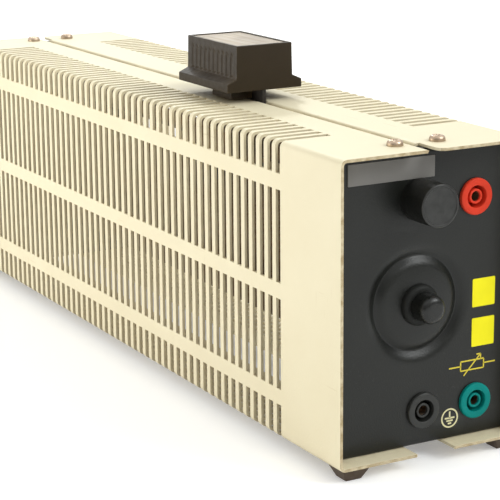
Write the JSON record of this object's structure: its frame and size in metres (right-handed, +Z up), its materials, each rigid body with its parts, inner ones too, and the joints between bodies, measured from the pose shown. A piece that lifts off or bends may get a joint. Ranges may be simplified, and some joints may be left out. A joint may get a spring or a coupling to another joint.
{
  "type": "sliding rheostat",
  "caption": "Bench sliding rheostat: slotted sheet covers round a wire-wound ceramic tube, a knob that slides a brush carriage on a guide rod, and shrouded sockets on the end plates.",
  "frame": {"origin": "middle of the footprint, on the surface that the feet stand on", "axes": "+Z up, +Y along the tube away from the end with the slider and earth sockets, +X to the right seen from that end"},
  "size_m": [0.086, 0.3912, 0.1498],
  "materials": {
    "cover_paint": "satin ivory powder coat",
    "plate_paint": "fine textured black paint",
    "foot_rubber": "moulded",
    "nickel_steel": "nickel plated",
    "brass": "drawn",
    "ceramic": "unglazed",
    "winding_wire": "oxidised",
    "gasket": "silicone",
    "black_plastic": "moulded, half gloss",
    "red_plastic": "moulded",
    "green_plastic": "moulded",
    "red_sleeving": "insulated wire",
    "black_sleeving": "insulated wire",
    "green_sleeving": "insulated wire",
    "knob_plastic": "moulded phenolic",
    "inlay": "brushed",
    "laminate": "sheet laminate",
    "carbon": "copper graphite"
  },
  "bodies": {
    "housing": {"left_cover": "cover_paint", "right_cover": "cover_paint", "front_end_plate": "plate_paint", "rear_end_plate": "plate_paint", "feet": "foot_rubber", "top_cover_screws": "nickel_steel", "bottom_cover_screws": "nickel_steel", "ceramic_tube": "ceramic", "resistance_winding": "winding_wire", "tube_gaskets": "gasket", "front_terminal_band": "brass", "rear_terminal_band": "brass", "band_screws": "nickel_steel", "tie_rod": "nickel_steel", "tie_rod_collars": "black_plastic", "front_cap_nut": "black_plastic", "rear_cap_nut": "black_plastic", "guide_rod": "brass", "rod_bushes": "black_plastic", "rod_nuts": "brass", "rod_tag": "nickel_steel", "front_rod_cap": "black_plastic", "rear_rod_cap": "black_plastic", "red_socket": "red_plastic", "black_socket": "black_plastic", "earth_socket": "green_plastic", "rear_socket": "black_plastic", "socket_contacts": "nickel_steel", "socket_nuts": "black_plastic", "red_lead": "red_sleeving", "black_lead": "black_sleeving", "rear_lead": "black_sleeving", "earth_lead": "green_sleeving", "earth_stud": "nickel_steel", "earth_tag": "nickel_steel", "earth_nut": "nickel_steel"},
    "slider": {"slider_knob": "knob_plastic", "slider_top_plate": "inlay", "slider_stem": "laminate", "stem_screws": "nickel_steel", "carriage_block": "brass", "contact_brushes": "carbon", "brush_springs": "nickel_steel", "brush_caps": "brass"}
  },
  "joints": [
    {"name": "slider_slide", "type": "slide", "parent": "housing", "child": "slider", "axis": [0, 1, 0], "range_m": [-0.107, 0.188]}
  ]
}
